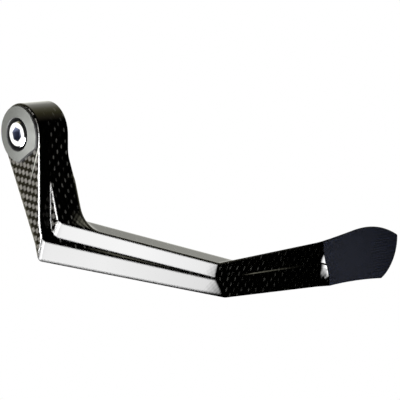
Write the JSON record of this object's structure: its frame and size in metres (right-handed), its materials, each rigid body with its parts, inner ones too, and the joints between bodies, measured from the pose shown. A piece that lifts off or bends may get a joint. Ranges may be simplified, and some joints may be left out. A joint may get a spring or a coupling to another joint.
{
  "type": "brake lever guard",
  "caption": "Cranked guard for a motorbike brake lever: a clamp eye with a bolted bush for the bar end, a stepped bar bent forward of the lever, and a moulded tip.",
  "frame": {"origin": "on the clamp bolt's axis, at the seat where the bush meets the handlebar's end", "axes": "+X along the clamp bolt and the handlebar, inboard; +Z from the guard's bar back to the bolt axis; the stepped show side faces -Y"},
  "size_m": [0.1953, 0.0234, 0.092],
  "materials": {
    "carbon": "clear-coated twill weave carbon laminate",
    "bush_metal": "satin bead-blasted",
    "bolt_steel": "bright zinc",
    "tip_plastic": "fine moulded grain",
    "screw_steel": "dark oxide"
  },
  "bodies": {
    "root": {"guard_body": "carbon", "bar_end_bush": "bush_metal", "clamp_bolt": "bolt_steel", "tip": "tip_plastic", "tip_screw": "screw_steel"}
  },
  "joints": []
}
